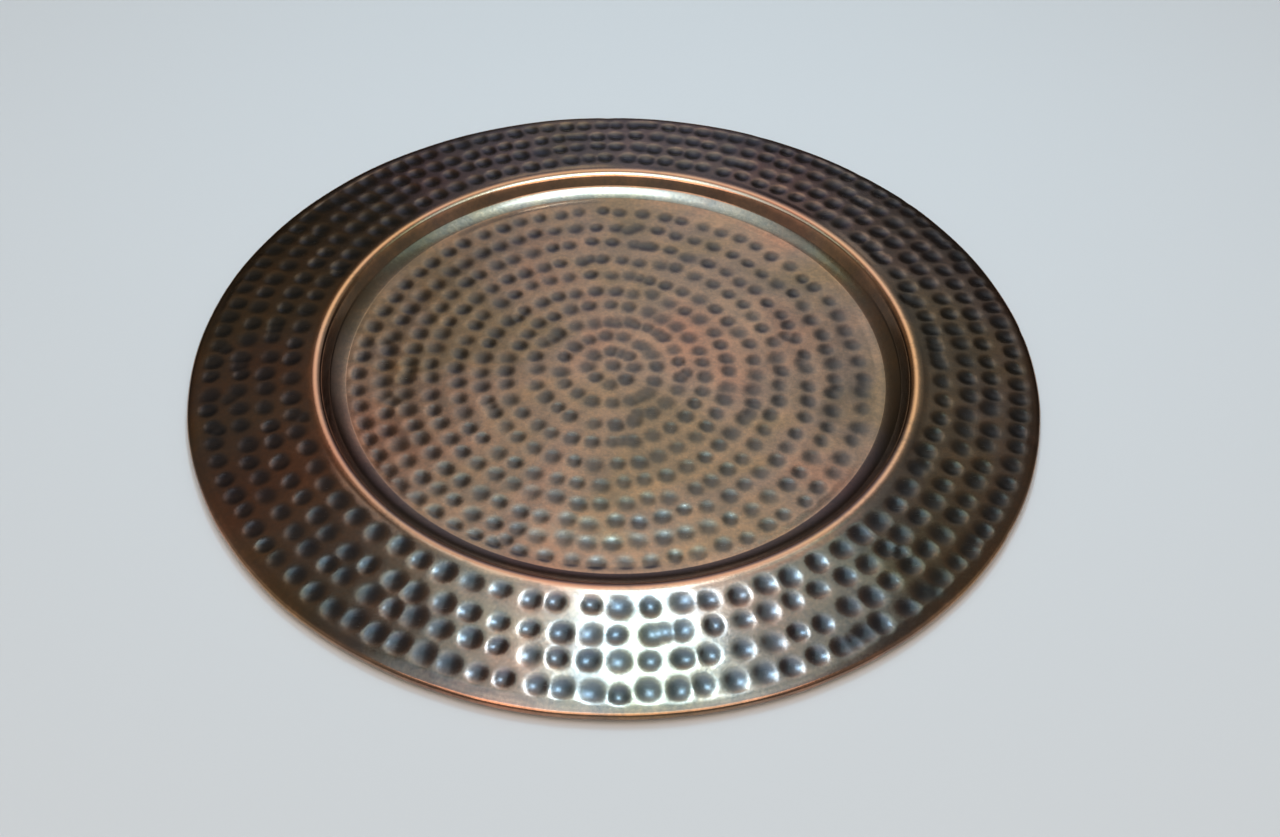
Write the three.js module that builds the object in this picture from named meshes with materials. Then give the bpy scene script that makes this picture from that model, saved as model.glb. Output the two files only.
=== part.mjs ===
// A round tray raised from one sheet of copper, with its stiffening wire.
// Millimetres, +Z up. The origin is under the centre of the floor, on the surface that the tray stands on.

import * as THREE from 'three';

// Driving dimensions

const TRAY_RADIUS = 165;
const SHEET = 0.8;
const WIRE_RADIUS = 0.5;

const CREASE_RADIUS = 105.7;    // where the hammered floor ends and the cove turns up
const RIM_FALL = 4.5;           // the rim falls outwards, in degrees below level
const COVE_SLOPE = 26;          // top of the gentle lower stretch of the cove, in degrees above level
const WALL_SLOPE = 57;          // the steep upper stretch of the cove, in degrees above level
const MARGIN_FALL = 10.5;       // the plain margin of the rim curls down to this beside the roll
const ROLL_RADIUS = 1.6;        // outside of the rolled edge

const RADIAL_FACETS = 72;       // facets around the tray
const ARC_STEP = 24;            // largest turn between two points of the section, in degrees
const WIRE_SIDES = 8;
const WIRE_GAP_ANGLE = 0.5;     // the butted ends of the wire stand this far apart, in degrees

const degrees = THREE.MathUtils.degToRad;

// The section of the sheet is a strip of even thickness. Its middle line is walked outwards from the
// axis as a chain of straight runs and round bends, and each station keeps its heading.

function startWalk(radius, height) {
  return [{ radius, height, heading: 0 }];
}

function last(walk) {
  return walk[walk.length - 1];
}

function straight(walk, length) {
  const from = last(walk);
  walk.push({
    radius: from.radius + length * Math.cos(from.heading),
    height: from.height + length * Math.sin(from.heading),
    heading: from.heading,
  });
}

// Turns the strip to a new heading, in degrees above level, on a bend of the given middle radius.
function bendTo(walk, targetHeading, bendRadius) {
  const from = last(walk);
  const turn = degrees(targetHeading) - from.heading;
  const steps = Math.max(1, Math.ceil(Math.abs(turn) / degrees(ARC_STEP)));
  const side = Math.sign(turn);
  for (let step = 1; step <= steps; step += 1) {
    const heading = from.heading + (turn * step) / steps;
    walk.push({
      radius: from.radius + side * bendRadius * (Math.sin(heading) - Math.sin(from.heading)),
      height: from.height - side * bendRadius * (Math.cos(heading) - Math.cos(from.heading)),
      heading,
    });
  }
}

// Everything inside the straight rim: the flat floor and its faint rise, the crease, the cove and the
// bead.
function walkWell(flatRun) {
  const walk = startWalk(0, SHEET / 2);
  straight(walk, flatRun);
  bendTo(walk, 2, 260);
  straight(walk, 10);
  const crease = last(walk);
  bendTo(walk, 15, 2);
  bendTo(walk, COVE_SLOPE, 30);
  bendTo(walk, WALL_SLOPE, 2.2);
  straight(walk, 3.7);
  bendTo(walk, 24, 2);
  bendTo(walk, 0, 6);
  bendTo(walk, -RIM_FALL, 14);
  return { walk, crease };
}

// The margin and the rolled edge, from the end of the straight rim to the free end of the strip, and
// the middle of the roll, where the wire lies.
function addRoll(walk) {
  bendTo(walk, -MARGIN_FALL, 40);
  const start = last(walk);
  const middleRadius = ROLL_RADIUS - SHEET / 2;
  bendTo(walk, -90, middleRadius);
  bendTo(walk, -252, middleRadius);
  return {
    radius: start.radius + middleRadius * Math.sin(start.heading),
    height: start.height - middleRadius * Math.cos(start.heading),
  };
}

// The whole section. The flat run puts the crease at its radius, and the straight rim is as long as
// the tray's radius needs.
function walkSection() {
  const flatRun = CREASE_RADIUS - walkWell(0).crease.radius;
  const reach = addRoll(walkWell(flatRun).walk).radius + ROLL_RADIUS;
  const { walk } = walkWell(flatRun);
  straight(walk, (TRAY_RADIUS - reach) / Math.cos(degrees(RIM_FALL)));
  const roll = addRoll(walk);
  return { walk, roll };
}

// One face of the strip, offset from its middle line.
function face(walk, offset) {
  return walk.map((station) => new THREE.Vector2(
    station.radius - offset * Math.sin(station.heading),
    station.height + offset * Math.cos(station.heading),
  ));
}

function sheetGeometry(walk) {
  const underside = face(walk, -SHEET / 2);
  const upside = face(walk, SHEET / 2).reverse();
  const section = [...underside, ...upside];
  return new THREE.LatheGeometry(section, RADIAL_FACETS).rotateX(Math.PI / 2);
}

// A level circle that stops just short of closing.
class OpenRing extends THREE.Curve {
  constructor(radius, height, gapAngle) {
    super();
    this.radius = radius;
    this.height = height;
    this.gapAngle = gapAngle;
  }

  getPoint(t, target = new THREE.Vector3()) {
    const angle = this.gapAngle / 2 + t * (2 * Math.PI - this.gapAngle);
    return target.set(this.radius * Math.cos(angle), this.radius * Math.sin(angle), this.height);
  }
}

function wireGeometry(roll) {
  const section = new THREE.Shape();
  for (let side = 0; side < WIRE_SIDES; side += 1) {
    const angle = (2 * Math.PI * side) / WIRE_SIDES;
    const point = [WIRE_RADIUS * Math.cos(angle), WIRE_RADIUS * Math.sin(angle)];
    if (side === 0) {
      section.moveTo(...point);
    } else {
      section.lineTo(...point);
    }
  }
  const ring = new OpenRing(roll.radius, roll.height, degrees(WIRE_GAP_ANGLE));
  return new THREE.ExtrudeGeometry(section, {
    steps: RADIAL_FACETS,
    bevelEnabled: false,
    extrudePath: ring,
  });
}

const agedCopper = new THREE.MeshStandardMaterial({ color: 0x5a3a2c, roughness: 0.36, metalness: 1 });
const wireSteel = new THREE.MeshStandardMaterial({ color: 0x6e6a66, roughness: 0.5, metalness: 1 });

function part(name, geometry, material) {
  const mesh = new THREE.Mesh(geometry, material);
  mesh.name = name;
  return mesh;
}

const { walk, roll } = walkSection();
const tray = new THREE.Group();
tray.add(part('tray_sheet', sheetGeometry(walk), agedCopper));
tray.add(part('rim_wire', wireGeometry(roll), wireSteel));

export default tray;
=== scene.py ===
"""A hammered copper tray: one raised sheet with a rolled, wired edge, standing on a pale studio floor."""

import math

import bpy
import numpy as np
from mathutils import Matrix, Vector


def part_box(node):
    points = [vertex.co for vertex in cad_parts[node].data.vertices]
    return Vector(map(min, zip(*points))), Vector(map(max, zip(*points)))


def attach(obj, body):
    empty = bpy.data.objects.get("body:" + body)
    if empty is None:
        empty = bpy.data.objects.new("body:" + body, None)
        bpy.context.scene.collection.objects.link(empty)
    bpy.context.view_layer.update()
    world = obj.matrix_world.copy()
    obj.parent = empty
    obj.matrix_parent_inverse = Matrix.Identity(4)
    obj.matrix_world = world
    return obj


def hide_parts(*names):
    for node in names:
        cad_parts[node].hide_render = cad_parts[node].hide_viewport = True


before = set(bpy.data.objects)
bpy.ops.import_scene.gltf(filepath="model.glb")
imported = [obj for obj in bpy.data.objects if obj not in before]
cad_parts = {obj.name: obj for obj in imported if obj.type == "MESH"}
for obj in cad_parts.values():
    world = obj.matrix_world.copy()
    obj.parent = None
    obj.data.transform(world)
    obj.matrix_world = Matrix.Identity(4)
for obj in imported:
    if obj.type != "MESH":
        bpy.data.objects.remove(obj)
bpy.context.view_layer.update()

MM = 0.001
_, sheet_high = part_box("tray_sheet")

# ---------------------------------------------------------------- sizes, in metres unless named otherwise

TRAY_RADIUS = sheet_high.x
SHEET = 0.8 * MM
CREASE_RADIUS = 105.7 * MM     # where the hammered floor ends and the cove turns up
BEAD_RADIUS = 116.6 * MM       # middle of the rubbed band on the bead, a little inside its top
ROLL_RADIUS = 1.6 * MM         # outside of the rolled edge
ROLL_MIDDLE = ROLL_RADIUS - SHEET / 2

# Slopes of the section, in degrees above or below level
FLOOR_RISE = 2
COVE_START = 15
COVE_SLOPE = 26.0
WALL_SLOPE = 57.0
BEAD_SHOULDER = 24
RIM_FALL = 4.5
MARGIN_FALL = 10.5
ROLL_END = 252                 # at the strip's free end, where the roll has closed over the wire

# Radii of the bends of the middle line, and lengths of its straight runs
FLOOR_BEND = 260 * MM
RISE_RUN = 10 * MM             # the last stretch of the floor, before the crease
CREASE_BEND = 2 * MM
COVE_BEND = 30 * MM
WALL_BEND = 2.2 * MM
WALL_RUN = 3.7 * MM
SHOULDER_BEND = 2 * MM
BEAD_BEND = 6 * MM
RIM_BEND = 14 * MM
MARGIN_BEND = 40 * MM

TOP_SPACING = 1.2 * MM         # between mesh points on the upper face
ROLL_SPACING = 2.0 * MM
UNDER_SPACING = 2.4 * MM
TOP_TURN_STEP = 9.0            # largest turn between two stations of the section, in degrees
UNDER_TURN_STEP = 20.0
ROLL_TURN_FACTOR = 1.6         # the roll takes longer steps than the rest
SEED = 7


# ---------------------------------------------------------------- the section of the sheet

class Walk:
    """The middle line of the strip, walked outwards from the axis as straight runs and round bends."""

    def __init__(self, spacing, turn_step):
        self.spacing = spacing
        self.turn_step = turn_step
        self.radius = [0.0]
        self.height = [SHEET / 2]
        self.heading = [0.0]

    def add(self, radius, height, heading):
        self.radius.append(radius)
        self.height.append(height)
        self.heading.append(heading)

    def straight(self, length):
        steps = max(1, round(length / self.spacing))
        radius, height, heading = self.radius[-1], self.height[-1], self.heading[-1]
        for step in range(1, steps + 1):
            run = length * step / steps
            self.add(radius + run * math.cos(heading), height + run * math.sin(heading), heading)

    def bend_to(self, target, bend_radius):
        radius, height, start = self.radius[-1], self.height[-1], self.heading[-1]
        turn = math.radians(target) - start
        side = math.copysign(1.0, turn)
        by_length = abs(turn) * bend_radius / self.spacing
        by_turn = abs(math.degrees(turn)) / self.turn_step
        steps = max(1, math.ceil(max(by_length, by_turn)))
        for step in range(1, steps + 1):
            heading = start + turn * step / steps
            self.add(
                radius + side * bend_radius * (math.sin(heading) - math.sin(start)),
                height - side * bend_radius * (math.cos(heading) - math.cos(start)),
                heading,
            )


def walk_well(flat_run, spacing, turn_step):
    """Everything inside the straight rim: the floor, the crease, the cove and the bead."""
    walk = Walk(spacing, turn_step)
    walk.straight(flat_run)
    walk.bend_to(FLOOR_RISE, FLOOR_BEND)
    walk.straight(RISE_RUN)
    crease = walk.radius[-1]
    walk.bend_to(COVE_START, CREASE_BEND)
    walk.bend_to(COVE_SLOPE, COVE_BEND)
    walk.bend_to(WALL_SLOPE, WALL_BEND)
    walk.straight(WALL_RUN)
    walk.bend_to(BEAD_SHOULDER, SHOULDER_BEND)
    walk.bend_to(0, BEAD_BEND)
    walk.bend_to(-RIM_FALL, RIM_BEND)
    return walk, crease


def add_roll(walk):
    """The margin and the rolled edge, up to the free end of the strip."""
    walk.turn_step *= ROLL_TURN_FACTOR
    walk.bend_to(-MARGIN_FALL, MARGIN_BEND)
    walk.bend_to(-90, ROLL_MIDDLE)
    reach = walk.radius[-1] + SHEET / 2
    walk.bend_to(-ROLL_END, ROLL_MIDDLE)
    return reach


def walk_section(spacing, turn_step):
    """The whole middle line, as arrays of radius, height and heading.

    A first walk with a guessed flat run shows how long the flat has to be. A second one shows how much is
    left for the straight rim.
    """
    first_run = 50 * MM
    flat_run = first_run + CREASE_RADIUS - walk_well(first_run, spacing, turn_step)[1]
    reach = add_roll(walk_well(flat_run, spacing, turn_step)[0])
    walk, _ = walk_well(flat_run, spacing, turn_step)
    walk.straight((TRAY_RADIUS - reach) / math.cos(math.radians(RIM_FALL)))
    add_roll(walk)
    return np.array(walk.radius), np.array(walk.height), np.array(walk.heading)


# ---------------------------------------------------------------- the hammer marks

FLOOR_RINGS = 10
FLOOR_RING_STEP = 9.95 * MM
FLOOR_RING_INSET = 0.6 * MM
FLOOR_PITCH = (7.3 * MM, 0.018)         # between marks near the middle, and how it grows with the radius
FLOOR_OFF_CENTRE = Vector((-4.5, -5.5)) * MM    # how far the floor's rings wander, most at half way out
MIDDLE_WANDER = 0.35           # share of that at the middle
RIM_RINGS = ((156.7, 112), (146.2, 98), (136.4, 90), (126.1, 83))      # radius in mm, and marks
RIM_OFF_CENTRE = Vector((0.6, 0.7)) * MM
RIM_CROWDING = 0.07            # the marks of the rim stand closer at the back than at the front
LINED_UP = math.radians(-89.2)  # where the first marks of the rim's rings stand in line
FLOOR_MARK = (3.0 * MM, 0.28 * MM)      # radius and depth
RIM_MARK = (3.8 * MM, 0.46 * MM)
RIDGE_SHARPNESS = 8 / MM       # a low number rounds the ridges more
MARK_REACH = 1.8               # times its radius: a mark has no effect outside this
DOUBLE_STRIKES = 0.05          # share of the marks that were struck twice
DOUBLE_SIZE = 0.85             # the second strike, against the first
FLOOR_LIFT = 0.28 * MM         # the hammered floor stands on the bumps under it
DEEPEST_RECESS = 1.2           # recess is 1 at the depth of FLOOR_MARK and goes no higher than this

# Bands of radius: the marks fade over the first three, and the floor's lift over the last
FLOOR_EDGE = (102.8 * MM, 104.9 * MM)
BEAD_FOOT = (119.4 * MM, 121.6 * MM)
MARGIN = (159.8 * MM, 161.6 * MM)
LIFT_EDGE = (80 * MM, 105 * MM)


def floor_centre(radius):
    """Where the ring of this radius is centred."""
    wander = MIDDLE_WANDER + (1 - MIDDLE_WANDER) * math.sin(math.pi * radius / CREASE_RADIUS)
    return FLOOR_OFF_CENTRE * wander


def ring_of_marks(rng, centre, radius, count, marks, mark, start, crowding=0.0):
    """One ring of marks, unevenly spaced as a hand leaves them, with a double strike here and there."""
    pitch = 2 * math.pi / count
    drift_phase = rng.uniform(0, 2 * math.pi)
    for k in range(count):
        turn_done = pitch * (k + rng.normal(0, 0.07))
        angle = start + turn_done + crowding * math.sin(turn_done)
        drift = 0.5 * MM * math.sin(3 * angle + drift_phase)
        out = radius + drift + rng.normal(0, 0.5 * MM)
        size = mark[0] * rng.uniform(0.88, 1.1)
        depth = mark[1] * rng.uniform(0.75, 1.15)
        stretch = rng.uniform(0.88, 1.14)
        turn = rng.uniform(0, math.pi)
        x = centre[0] + out * math.cos(angle)
        y = centre[1] + out * math.sin(angle)
        marks.append((x, y, size, depth, stretch, turn))
        if rng.random() < DOUBLE_STRIKES:
            aside = angle + math.pi / 2 + rng.normal(0, 0.5)
            step = rng.uniform(3.2, 5.0) * MM
            marks.append((x + step * math.cos(aside), y + step * math.sin(aside),
                          size * DOUBLE_SIZE, depth * DOUBLE_SIZE, stretch, turn))


def hammer_marks():
    """Every mark as a row of x, y, radius, depth, stretch and direction."""
    rng = np.random.default_rng(SEED)
    marks = []
    centre = floor_centre(0)
    marks.append((centre[0], centre[1], *FLOOR_MARK, 1.0, 0.0))
    for ring in range(1, FLOOR_RINGS + 1):
        radius = FLOOR_RING_STEP * ring - FLOOR_RING_INSET
        count = round(2 * math.pi * radius / (FLOOR_PITCH[0] + FLOOR_PITCH[1] * radius))
        start = rng.uniform(0, 2 * math.pi)
        ring_of_marks(rng, floor_centre(radius), radius, count, marks, FLOOR_MARK, start)
    for radius, count in RIM_RINGS:
        ring_of_marks(rng, RIM_OFF_CENTRE, radius * MM, count, marks, RIM_MARK, LINED_UP, RIM_CROWDING)
    return np.array(marks)


def press_marks(marks, x, y):
    """How deep the marks press the sheet at each point, and how steeply in x and y.

    Each mark is a shallow bowl, and the deepest bowl counts, with the ridges between them rounded.
    """
    total = np.ones_like(x)
    pull_x = np.zeros_like(x)
    pull_y = np.zeros_like(x)
    for mark_x, mark_y, size, depth, stretch, turn in marks:
        reach = MARK_REACH * size
        near = np.nonzero((np.abs(x - mark_x) < reach) & (np.abs(y - mark_y) < reach))[0]
        dx, dy = x[near] - mark_x, y[near] - mark_y
        cos, sin = math.cos(turn), math.sin(turn)
        along, across = dx * cos + dy * sin, dy * cos - dx * sin
        curve_along, curve_across = depth * stretch / size ** 2, depth / (stretch * size ** 2)
        bowl = depth - curve_along * along ** 2 - curve_across * across ** 2
        share = np.exp(RIDGE_SHARPNESS * bowl)
        total[near] += share
        pull_x[near] -= 2 * share * (curve_along * along * cos - curve_across * across * sin)
        pull_y[near] -= 2 * share * (curve_along * along * sin + curve_across * across * cos)
    return np.log(total) / RIDGE_SHARPNESS, pull_x / total, pull_y / total


def smooth_step(low, high, value):
    share = np.clip((value - low) / (high - low), 0, 1)
    return share * share * (3 - 2 * share)


def hammered_zone(radius):
    """1 where the sheet is hammered, falling to 0 on the plain bands."""
    floor = 1 - smooth_step(*FLOOR_EDGE, radius)
    rim = smooth_step(*BEAD_FOOT, radius) * (1 - smooth_step(*MARGIN, radius))
    return floor + rim


def floor_lift(radius):
    """The lift dies out over a wide band, so that it leaves no step in the floor."""
    return FLOOR_LIFT * (1 - smooth_step(*LIFT_EDGE, radius))


# Radians per metre in x and in y, phase, and height in mm
WAVES = ((41, 23, 0.7, 0.10), (-29, 47, 2.1, 0.08), (83, -61, 4.0, 0.05), (150, 130, 1.0, 0.02))


def gentle_waves(x, y):
    """The slow unevenness that raising and planishing leave in the whole sheet, with its slopes."""
    rise, slope_x, slope_y = np.zeros_like(x), np.zeros_like(x), np.zeros_like(x)
    for per_x, per_y, phase, height in WAVES:
        rise += height * MM * np.sin(per_x * x + per_y * y + phase)
        slope_x += height * MM * per_x * np.cos(per_x * x + per_y * y + phase)
        slope_y += height * MM * per_y * np.cos(per_x * x + per_y * y + phase)
    return rise, slope_x, slope_y


def relief(marks, x, y):
    """Height of the worked surface over the plain section, its two slopes, and the recess of each point."""
    radius = np.hypot(x, y)
    safe = np.maximum(radius, MM)
    step = 0.05 * MM
    depth, depth_x, depth_y = press_marks(marks, x, y)
    wave, wave_x, wave_y = gentle_waves(x, y)
    zone = hammered_zone(radius)
    zone_slope = (hammered_zone(radius + step) - hammered_zone(radius - step)) / (2 * step)
    lift_slope = (floor_lift(radius + step) - floor_lift(radius - step)) / (2 * step)
    rise = floor_lift(radius) + (wave - depth) * zone
    outward = lift_slope + (wave - depth) * zone_slope
    slope_x = outward * x / safe + (wave_x - depth_x) * zone
    slope_y = outward * y / safe + (wave_y - depth_y) * zone
    return rise, slope_x, slope_y, np.minimum(depth / FLOOR_MARK[1], DEEPEST_RECESS) * zone


# ---------------------------------------------------------------- the edge, bent a little by hand and use

NICKS = 11
NICK_TURN = 0.7                # how far around the roll a nick reaches, in radians
EDGE_BAND = (158 * MM, 162 * MM)        # the waves and nicks of the edge start over this band
EDGE_WAVES = ((5, 0.4, 0.07), (11, 2.0, 0.05), (23, 4.4, 0.035), (41, 1.3, 0.02))    # per turn, phase, mm


def edge_nicks():
    """Each nick as a row of angle, heading of the struck face, half length and depth."""
    rng = np.random.default_rng(SEED + 1)
    rows = []
    for _ in range(NICKS):
        rows.append((rng.uniform(0, 2 * math.pi), math.radians(rng.uniform(-80, 10)),
                     rng.uniform(1.4, 3.2) * MM, rng.uniform(0.12, 0.3) * MM))
    return rows


def edge_shift(angle, radius, heading, nicks):
    """How far each point of the edge is out of true: outwards, upwards, and inwards along its normal."""
    share = smooth_step(*EDGE_BAND, radius)
    outwards, upwards, inwards = np.zeros_like(angle), np.zeros_like(angle), np.zeros_like(angle)
    for per_turn, phase, height in EDGE_WAVES:
        outwards += height * MM * np.sin(per_turn * angle + phase)
        upwards += height * MM * np.cos(per_turn * angle + 2.3 * phase)
    for nick_angle, nick_heading, length, depth in nicks:
        away = (np.mod(angle - nick_angle + math.pi, 2 * math.pi) - math.pi) * TRAY_RADIUS
        inwards += depth * np.exp(-(away / length) ** 2 - ((heading - nick_heading) / NICK_TURN) ** 2)
    return outwards * share, upwards * share, inwards * share


# ---------------------------------------------------------------- the mesh of the sheet

BEAD_WEAR = 2.2 * MM           # half width of the rubbed band on the bead
EDGE_WEAR = 0.25               # wear of the rolled edge, where the bead's is 1
EDGE_WEAR_BAND = (161.9 * MM, 163.0 * MM)
UNDERSIDE_RELIEF = 0.8         # the marks show this much on the underside
EVEN_RINGS = (101 * MM, 119 * MM)       # the crease, the cove and the bead
ROLL_START = 161 * MM
OWN_NORMALS = 160.5 * MM       # outside this, the normals are the mesh's own


def lay_rings(section, side, spacing_of):
    """The number of points in each ring of one face, and each point's radius, height, heading and angle."""
    radius, height, heading = section
    order = range(len(radius)) if side > 0 else range(len(radius) - 1, -1, -1)
    sizes, station, angle = [], [], []
    for k in order:
        count = 1 if radius[k] < 1e-6 else max(6, round(2 * math.pi * radius[k] / spacing_of(radius[k])))
        sizes.append(count)
        station.append(np.full(count, k))
        angle.append(2 * math.pi * np.arange(count) / count)
    station = np.concatenate(station)
    return sizes, radius[station], height[station], heading[station], np.concatenate(angle)


def wear_of(radius):
    """How much hands and cloths polish the sheet: 1 on the bead, and less on the rolled edge."""
    bead = np.exp(-((radius - BEAD_RADIUS) / BEAD_WEAR) ** 4)
    return bead + EDGE_WEAR * smooth_step(*EDGE_WEAR_BAND, radius)


def shape_face(marks, nicks, rings, side):
    """Points, normals, recess and wear of one face. side is 1 for the upper face and -1 for the lower."""
    _, radius, height, heading, angle = rings
    cos, sin = np.cos(angle), np.sin(angle)
    rise, slope_x, slope_y, recess = relief(marks, radius * cos, radius * sin)
    thinning = 1.0 if side > 0 else UNDERSIDE_RELIEF
    outwards, upwards, inwards = edge_shift(angle, radius, heading, nicks)
    normal = np.stack([-np.sin(heading) * cos, -np.sin(heading) * sin, np.cos(heading)], 1)
    offset = side * SHEET / 2 + rise * thinning - inwards
    reach = radius + outwards
    points = np.stack([reach * cos, reach * sin, height + upwards], 1) + normal * offset[:, None]
    if side < 0:
        points[:, 2] = np.maximum(points[:, 2], 0.0)
    normal[:, 0] -= slope_x * thinning
    normal[:, 1] -= slope_y * thinning
    normal *= side / np.linalg.norm(normal, axis=1)[:, None]
    wear = wear_of(radius) if side > 0 else np.zeros_like(radius)
    return points, normal, recess, wear


def join_rings(sizes):
    """Triangles between each ring and the next, whatever the number of points in each."""
    triangles = []
    first = np.concatenate([[0], np.cumsum(sizes)])
    for ring in range(len(sizes) - 1):
        count, next_count = sizes[ring], sizes[ring + 1]
        start, next_start = first[ring], first[ring + 1]
        if count > 1:
            i = np.arange(count)
            j = np.ceil(next_count * (i + 0.5) / count - 0.5).astype(int) % next_count
            triangles.append(np.stack([next_start + j, start + (i + 1) % count, start + i], 1))
        if next_count > 1:
            j = np.arange(next_count)
            i = (np.floor(count * (j + 0.5) / next_count - 0.5).astype(int) + 1) % count
            triangles.append(np.stack([next_start + (j + 1) % next_count, start + i, next_start + j], 1))
    return np.concatenate(triangles)


def set_attribute(mesh, name, values):
    attribute = mesh.attributes.new(name, "FLOAT", "POINT")
    attribute.data.foreach_set("value", values.astype(np.float32))


def make_sheet():
    marks, nicks = hammer_marks(), edge_nicks()

    def top_spacing(radius):
        if EVEN_RINGS[0] < radius < EVEN_RINGS[1]:
            return TOP_SPACING * radius / CREASE_RADIUS      # the same number of points in each ring
        return TOP_SPACING if radius < ROLL_START else ROLL_SPACING

    def under_spacing(radius):
        return UNDER_SPACING if radius < ROLL_START else 2 * ROLL_SPACING

    top = lay_rings(walk_section(TOP_SPACING, TOP_TURN_STEP), 1, top_spacing)
    under = lay_rings(walk_section(UNDER_SPACING, UNDER_TURN_STEP), -1, under_spacing)
    faces = [shape_face(marks, nicks, top, 1), shape_face(marks, nicks, under, -1)]
    points, normals, recess, wear = (np.concatenate(part) for part in zip(*faces))
    mesh = bpy.data.meshes.new("hammered_sheet")
    mesh.from_pydata(points.tolist(), [], join_rings(top[0] + under[0]).tolist())
    mesh.update()
    mesh.shade_smooth()
    own = np.zeros(len(points) * 3, np.float32)
    mesh.vertex_normals.foreach_get("vector", own)
    on_edge = np.concatenate([top[1], under[1]]) > OWN_NORMALS
    normals = np.where(on_edge[:, None], own.reshape(-1, 3), normals)
    mesh.normals_split_custom_set_from_vertices(normals.tolist())
    # recess darkens the colour at the bottom of each mark: patina, and painted shade
    set_attribute(mesh, "recess", recess)
    set_attribute(mesh, "wear", wear)
    piece = bpy.data.objects.new("hammered_sheet", mesh)
    bpy.context.scene.collection.objects.link(piece)
    return piece


sheet = make_sheet()
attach(sheet, "root")
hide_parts("tray_sheet")


# ---------------------------------------------------------------- materials

class Graph:
    """Short names for building a material's nodes. Each method returns an output socket."""

    def __init__(self, tree):
        self.tree = tree

    def node(self, kind, **settings):
        node = self.tree.nodes.new(kind)
        for key, value in settings.items():
            setattr(node, key, value)
        return node

    def feed(self, socket, value):
        if isinstance(value, bpy.types.NodeSocket):
            self.tree.links.new(value, socket)
        else:
            socket.default_value = value

    def math(self, operation, a, b=0.0, clamp=False):
        node = self.node("ShaderNodeMath", operation=operation, use_clamp=clamp)
        self.feed(node.inputs[0], a)
        self.feed(node.inputs[1], b)
        return node.outputs[0]

    def attribute(self, name):
        return self.node("ShaderNodeAttribute", attribute_name=name).outputs["Fac"]

    def place(self):
        return self.node("ShaderNodeTexCoord").outputs["Object"]

    def stretch(self, vector, turn, scale):
        """The vector turned about Z and scaled, so that a noise read there is drawn out one way."""
        node = self.node("ShaderNodeMapping")
        self.feed(node.inputs["Vector"], vector)
        node.inputs["Rotation"].default_value = (0, 0, math.radians(turn))
        node.inputs["Scale"].default_value = scale
        return node.outputs["Vector"]

    def noise(self, vector, scale, detail=3.0, roughness=0.55, distortion=0.0):
        node = self.node("ShaderNodeTexNoise")
        self.feed(node.inputs["Vector"], vector)
        node.inputs["Scale"].default_value = scale
        node.inputs["Detail"].default_value = detail
        node.inputs["Roughness"].default_value = roughness
        node.inputs["Distortion"].default_value = distortion
        return node.outputs["Fac"]

    def spread(self, value, low, high, to_low=0.0, to_high=1.0):
        node = self.node("ShaderNodeMapRange")
        self.feed(node.inputs["Value"], value)
        limits = {"From Min": low, "From Max": high, "To Min": to_low, "To Max": to_high}
        for name, number in limits.items():
            node.inputs[name].default_value = number
        return node.outputs["Result"]

    def ramp(self, value, stops):
        node = self.node("ShaderNodeValToRGB")
        self.feed(node.inputs["Fac"], value)
        elements = node.color_ramp.elements
        while len(elements) < len(stops):
            elements.new(0.5)
        for element, (position, colour) in zip(elements, stops):
            element.position = position
            element.color = (*colour, 1)
        return node.outputs["Color"]

    def mix(self, factor, a, b, blend="MIX"):
        node = self.node("ShaderNodeMix", data_type="RGBA", blend_type=blend)
        self.feed(node.inputs["Factor"], factor)
        self.feed(node.inputs[6], a)        # the colour sockets of this node share their names with others
        self.feed(node.inputs[7], b)
        return node.outputs[2]

    def bump(self, height, distance, strength, normal=None):
        node = self.node("ShaderNodeBump")
        self.feed(node.inputs["Height"], height)
        node.inputs["Distance"].default_value = distance
        node.inputs["Strength"].default_value = strength
        if normal is not None:
            self.feed(node.inputs["Normal"], normal)
        return node.outputs["Normal"]


def new_material(name):
    material = bpy.data.materials.new(name)
    material.use_nodes = True
    material.node_tree.nodes.clear()
    graph = Graph(material.node_tree)
    output = graph.node("ShaderNodeOutputMaterial")
    shader = graph.node("ShaderNodeBsdfPrincipled")
    graph.feed(output.inputs["Surface"], shader.outputs["BSDF"])
    return material, shader, graph


RIDGE_PATINA = 0.39
RECESS_PATINA_AND_SHADE = 0.50           # added at the bottom of a mark: patina in the hollow, and painted shade there too
PATINA_COLOURS = (
    (0.0, (0.58, 0.335, 0.215)),
    (0.22, (0.36, 0.225, 0.152)),
    (0.45, (0.215, 0.152, 0.115)),
    (0.70, (0.110, 0.086, 0.074)),
    (1.0, (0.055, 0.049, 0.050)),
)
TINTS = (                      # the reddish, plain and golden clouds of the copper
    (0.32, (0.92, 0.60, 0.52)),
    (0.47, (0.94, 0.86, 0.78)),
    (0.60, (0.98, 0.86, 0.52)),
)
TINT_SHARE = 0.7


def scratches(graph, place, turn, density):
    """Fine straight hairlines in one direction: 1 in a line, 0 elsewhere."""
    drawn = graph.stretch(place, turn, (1.0, 34.0, 34.0))
    return graph.spread(graph.noise(drawn, density, 2.0, 0.5), 0.66, 0.72)


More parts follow.
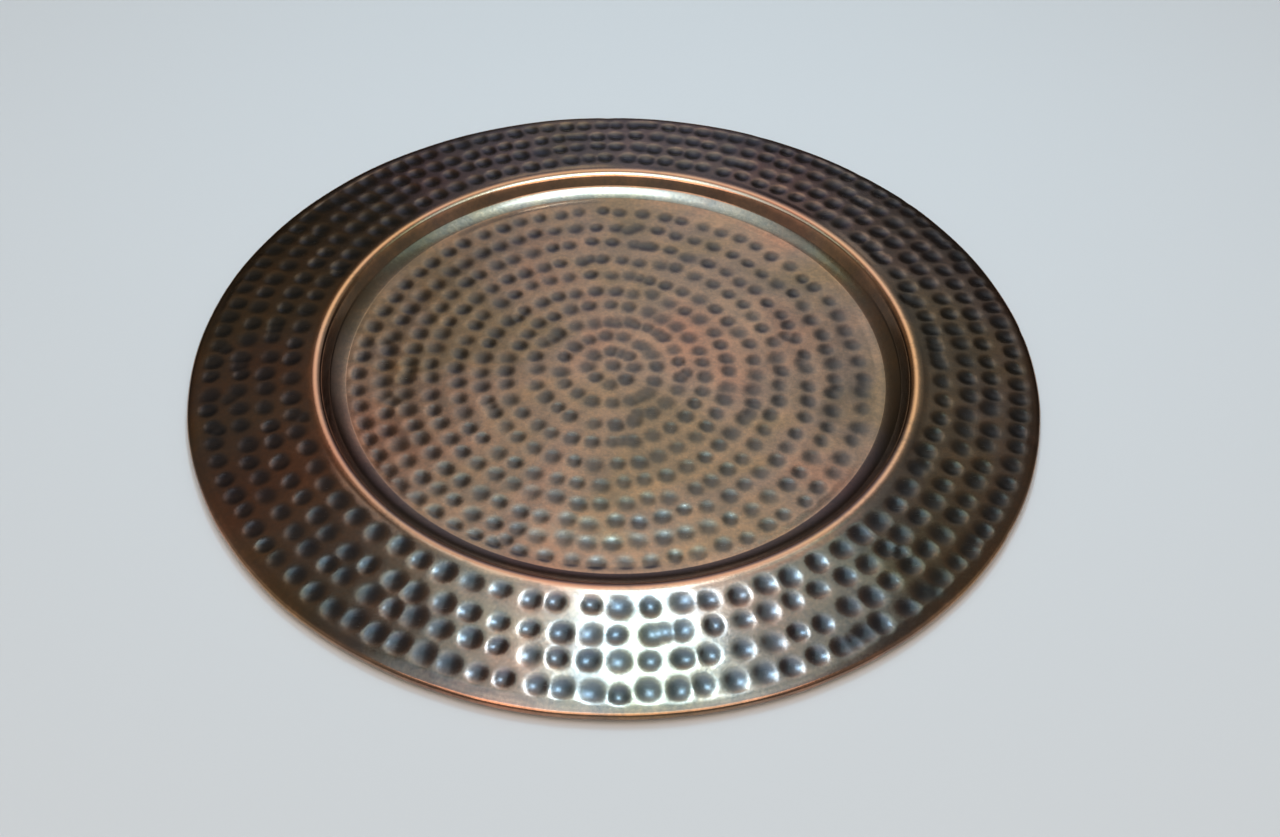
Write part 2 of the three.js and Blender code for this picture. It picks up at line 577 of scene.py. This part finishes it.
def copper_material():
    """Copper under an old brown lacquer: dark in the marks, from patina and painted shade, worn bright
    along the bead and the edge.

    The patina and painted shade together run from 0, bare copper, to 1, the darkest brown. In the marks
    they hold painted shade as well as patina. They pick the colour and the roughness.
    """
    material, shader, graph = new_material("aged_copper")
    place = graph.place()
    recess = graph.attribute("recess")
    wear = graph.attribute("wear")
    clouds = graph.noise(place, 15, 3.0, 0.5, 0.4)
    patches = graph.noise(place, 95, 4.0, 0.6, 0.3)
    mottle = graph.noise(place, 620, 4.0, 0.65)
    grain = graph.noise(place, 2600, 2.0, 0.6)
    hairlines = graph.math("MAXIMUM", scratches(graph, place, 21, 70), scratches(graph, place, -48, 58))

    # Darker towards the bottom of each mark: patina in the hollows, and painted shade there too
    patina_and_shade = graph.math("MULTIPLY_ADD", recess, RECESS_PATINA_AND_SHADE)
    patina_and_shade.node.inputs[2].default_value = RIDGE_PATINA
    for noise, swing in ((clouds, 0.13), (patches, 0.10), (mottle, 0.07)):
        patina_and_shade = graph.math("ADD", patina_and_shade, graph.spread(noise, 0.3, 0.7, -swing, swing))
    worn = graph.math("MULTIPLY", wear, graph.spread(patches, 0.25, 0.75, 0.62, 0.36))
    patina_and_shade = graph.math("SUBTRACT", patina_and_shade, worn, clamp=True)
    patina_and_shade = graph.math("SUBTRACT", patina_and_shade, graph.math("MULTIPLY", hairlines, 0.03), clamp=True)

    brown = graph.ramp(patina_and_shade, PATINA_COLOURS)
    tint = graph.ramp(graph.noise(place, 13, 3.0, 0.55, 0.5), TINTS)
    colour = graph.mix(TINT_SHARE, brown, tint, "MULTIPLY")
    graph.feed(shader.inputs["Base Color"], colour)
    graph.feed(shader.inputs["Metallic"], graph.spread(patina_and_shade, 0.3, 1.0, 1.0, 0.86))
    roughness = graph.math("ADD", graph.spread(patina_and_shade, 0.0, 1.0, 0.15, 0.22),
                           graph.spread(grain, 0.3, 0.7, -0.03, 0.05))
    roughness = graph.math("ADD", roughness, graph.math("MULTIPLY", hairlines, 0.04))
    graph.feed(shader.inputs["Roughness"], roughness)
    normal = graph.bump(patches, 0.25 * MM, 0.16)
    normal = graph.bump(mottle, 0.05 * MM, 0.30, normal)
    normal = graph.bump(grain, 0.012 * MM, 0.35, normal)
    normal = graph.bump(graph.math("MULTIPLY", hairlines, -1.0), 0.006 * MM, 0.5, normal)
    graph.feed(shader.inputs["Normal"], normal)
    for name, number in (("Coat Weight", 0.35), ("Coat Roughness", 0.08), ("Coat IOR", 1.5)):
        shader.inputs[name].default_value = number
    return material


def wire_material():
    """Drawn iron wire, grey with brown rust freckles."""
    material, shader, graph = new_material("iron_wire")
    place = graph.place()
    freckles = graph.spread(graph.noise(place, 420, 4.0, 0.65), 0.48, 0.62)
    drawn = graph.noise(place, 3200, 2.0, 0.5)
    steel = graph.ramp(drawn, ((0.3, (0.20, 0.19, 0.18)), (0.7, (0.33, 0.32, 0.31))))
    rust = graph.ramp(drawn, ((0.3, (0.085, 0.036, 0.016)), (0.7, (0.19, 0.085, 0.038))))
    graph.feed(shader.inputs["Base Color"], graph.mix(freckles, steel, rust))
    graph.feed(shader.inputs["Metallic"], graph.spread(freckles, 0.0, 1.0, 1.0, 0.15))
    graph.feed(shader.inputs["Roughness"], graph.spread(freckles, 0.0, 1.0, 0.38, 0.85))
    normal = graph.bump(drawn, 0.02 * MM, 0.4)
    graph.feed(shader.inputs["Normal"], graph.bump(freckles, 0.05 * MM, 0.3, normal))
    return material


sheet.data.materials.append(copper_material())
for wire_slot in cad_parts["rim_wire"].material_slots:
    wire_slot.material = wire_material()


# ---------------------------------------------------------------- studio

FLOOR_HALF = 30.0              # half the side of the floor


def direction(azimuth, elevation):
    """Azimuth 0 is behind the tray, seen from the camera, and positive is to the right."""
    turn, rise = math.radians(azimuth), math.radians(elevation)
    return Vector((math.sin(turn) * math.cos(rise), math.cos(turn) * math.cos(rise), math.sin(rise)))


def make_floor():
    mesh = bpy.data.meshes.new("studio_floor")
    corners = [(x * FLOOR_HALF, y * FLOOR_HALF, 0) for x, y in ((-1, -1), (1, -1), (1, 1), (-1, 1))]
    mesh.from_pydata(corners, [], [(0, 1, 2, 3)])
    floor = bpy.data.objects.new("studio_floor", mesh)
    bpy.context.scene.collection.objects.link(floor)
    material, shader, _ = new_material("pale_floor")
    shader.inputs["Base Color"].default_value = (0.72, 0.71, 0.69, 1)
    shader.inputs["Roughness"].default_value = 0.85
    mesh.materials.append(material)


def softbox(name, place, width, depth, radiance, colour):
    """A flat soft light that faces the tray."""
    light = bpy.data.lights.new(name, "AREA")
    light.shape = "RECTANGLE"
    light.size = width
    light.size_y = depth
    light.energy = radiance * math.pi * width * depth
    light.color = colour
    lamp = bpy.data.objects.new(name, light)
    lamp.location = place
    lamp.rotation_euler = (-place).to_track_quat("-Z", "Y").to_euler()
    lamp.visible_camera = False
    bpy.context.scene.collection.objects.link(lamp)


# One lamp, with a small bright heart and a wide dim halo, that the front of the rim mirrors to the camera
LAMP = Vector((0.031, 0.205, 0.709))
LAMP_HEART = (0.06, 0.06, 24, (0.62, 1.04, 1.45))       # width, depth, radiance and colour
LAMP_CORE = (0.15, 0.15, 7.6, (0.58, 1.06, 1.5))
LAMP_HALO = (0.52, 0.42, 0.9, (0.6, 1.06, 1.25))
FRONT_FILL = (2.4, 1.9, 2.0, (1.2, 1.0, 0.84))
ROOM = (0.015, (1, 0.95, 0.9))              # radiance and colour
HAZE = (0.36, (1, 0.99, 0.97))
HAZE_BAND = (0.03, 0.17)                    # the haze fades over this band above the horizon
GLOW_FALLOFF = 1.5
GLOWS = (                                   # azimuth, elevation, half width, radiance and colour
    (-30, 46, 22, 0.13, (1.2, 0.95, 0.7)),
    (28, 46, 20, 0.11, (1.1, 0.98, 0.9)),
    (0, 28, 16, 0.36, (0.8, 0.95, 1.4)),
    (2, 42, 14, 1.0, (0.98, 1.02, 0.96)),
    (16, 40, 16, 0.28, (0.75, 1.0, 1.2)),
    (0, 54, 15, 0.80, (1.1, 1.0, 1.0)),
    (0, 86, 24, 2.3, (0.64, 1.0, 1.4)),
    (-100, 32, 50, 0.34, (1.0, 0.97, 0.92)),
    (100, 32, 50, 0.34, (1.0, 0.97, 0.92)),
    (180, 30, 50, 0.34, (1.0, 0.97, 0.92)),
)


def make_room():
    """A dim room with soft glows, most of them behind the tray, and a pale haze at the horizon."""
    world = bpy.data.worlds.new("room")
    bpy.context.scene.world = world
    world.use_nodes = True
    world.node_tree.nodes.clear()
    graph = Graph(world.node_tree)
    towards = graph.node("ShaderNodeTexCoord").outputs["Generated"]

    def light(colour, strength):
        node = graph.node("ShaderNodeBackground")
        node.inputs["Color"].default_value = (*colour, 1)
        graph.feed(node.inputs["Strength"], strength)
        return node.outputs[0]

    split = graph.node("ShaderNodeSeparateXYZ")
    graph.feed(split.inputs[0], towards)
    haze = graph.spread(split.outputs["Z"], *HAZE_BAND, HAZE[0], 0.0)
    parts = [light(ROOM[1], ROOM[0]), light(HAZE[1], haze)]
    for azimuth, elevation, half_width, radiance, colour in GLOWS:
        facing = graph.node("ShaderNodeVectorMath", operation="DOT_PRODUCT")
        graph.feed(facing.inputs[0], towards)
        facing.inputs[1].default_value = direction(azimuth, elevation)
        glow = graph.spread(facing.outputs["Value"], math.cos(math.radians(half_width)), 1.0)
        glow = graph.math("POWER", glow, GLOW_FALLOFF)
        parts.append(light(colour, graph.math("MULTIPLY", glow, radiance)))
    total = parts[0]
    for part in parts[1:]:
        add = graph.node("ShaderNodeAddShader")
        graph.feed(add.inputs[0], total)
        graph.feed(add.inputs[1], part)
        total = add.outputs[0]
    graph.feed(graph.node("ShaderNodeOutputWorld").inputs["Surface"], total)


def make_studio():
    make_floor()
    make_room()
    softbox("lamp_heart", LAMP * 0.99, *LAMP_HEART)
    softbox("lamp_core", LAMP, *LAMP_CORE)
    softbox("lamp_halo", LAMP * 1.03, *LAMP_HALO)
    softbox("front_fill", direction(180, 66) * 2.5, *FRONT_FILL)


make_studio()


# ---------------------------------------------------------------- camera

# Fitted to the outlines of the edge, the bead and the floor in the photograph
CAMERA_DISTANCE = 3.41 * TRAY_RADIUS
CAMERA_ELEVATION = math.radians(43.69)
CAMERA_ROLL = math.radians(1.9)
CAMERA_AIM = Vector((9.2, -30.0, 0.0)) * MM
CAMERA_LENS = 39.87            # in mm, on a sensor 36 mm wide


def make_camera():
    data = bpy.data.cameras.new("camera")
    data.sensor_width = 36
    data.lens = CAMERA_LENS
    data.clip_start = 0.01
    camera = bpy.data.objects.new("camera", data)
    back, up = CAMERA_DISTANCE * math.cos(CAMERA_ELEVATION), CAMERA_DISTANCE * math.sin(CAMERA_ELEVATION)
    camera.location = Vector((0, -back, up))
    look = (CAMERA_AIM - camera.location).to_track_quat("-Z", "Y").to_matrix()
    roll = Matrix.Rotation(CAMERA_ROLL, 3, "Z")
    camera.rotation_euler = (look @ roll).to_euler()
    bpy.context.scene.collection.objects.link(camera)
    bpy.context.scene.camera = camera


make_camera()
bpy.context.scene.view_settings.view_transform = "Standard"
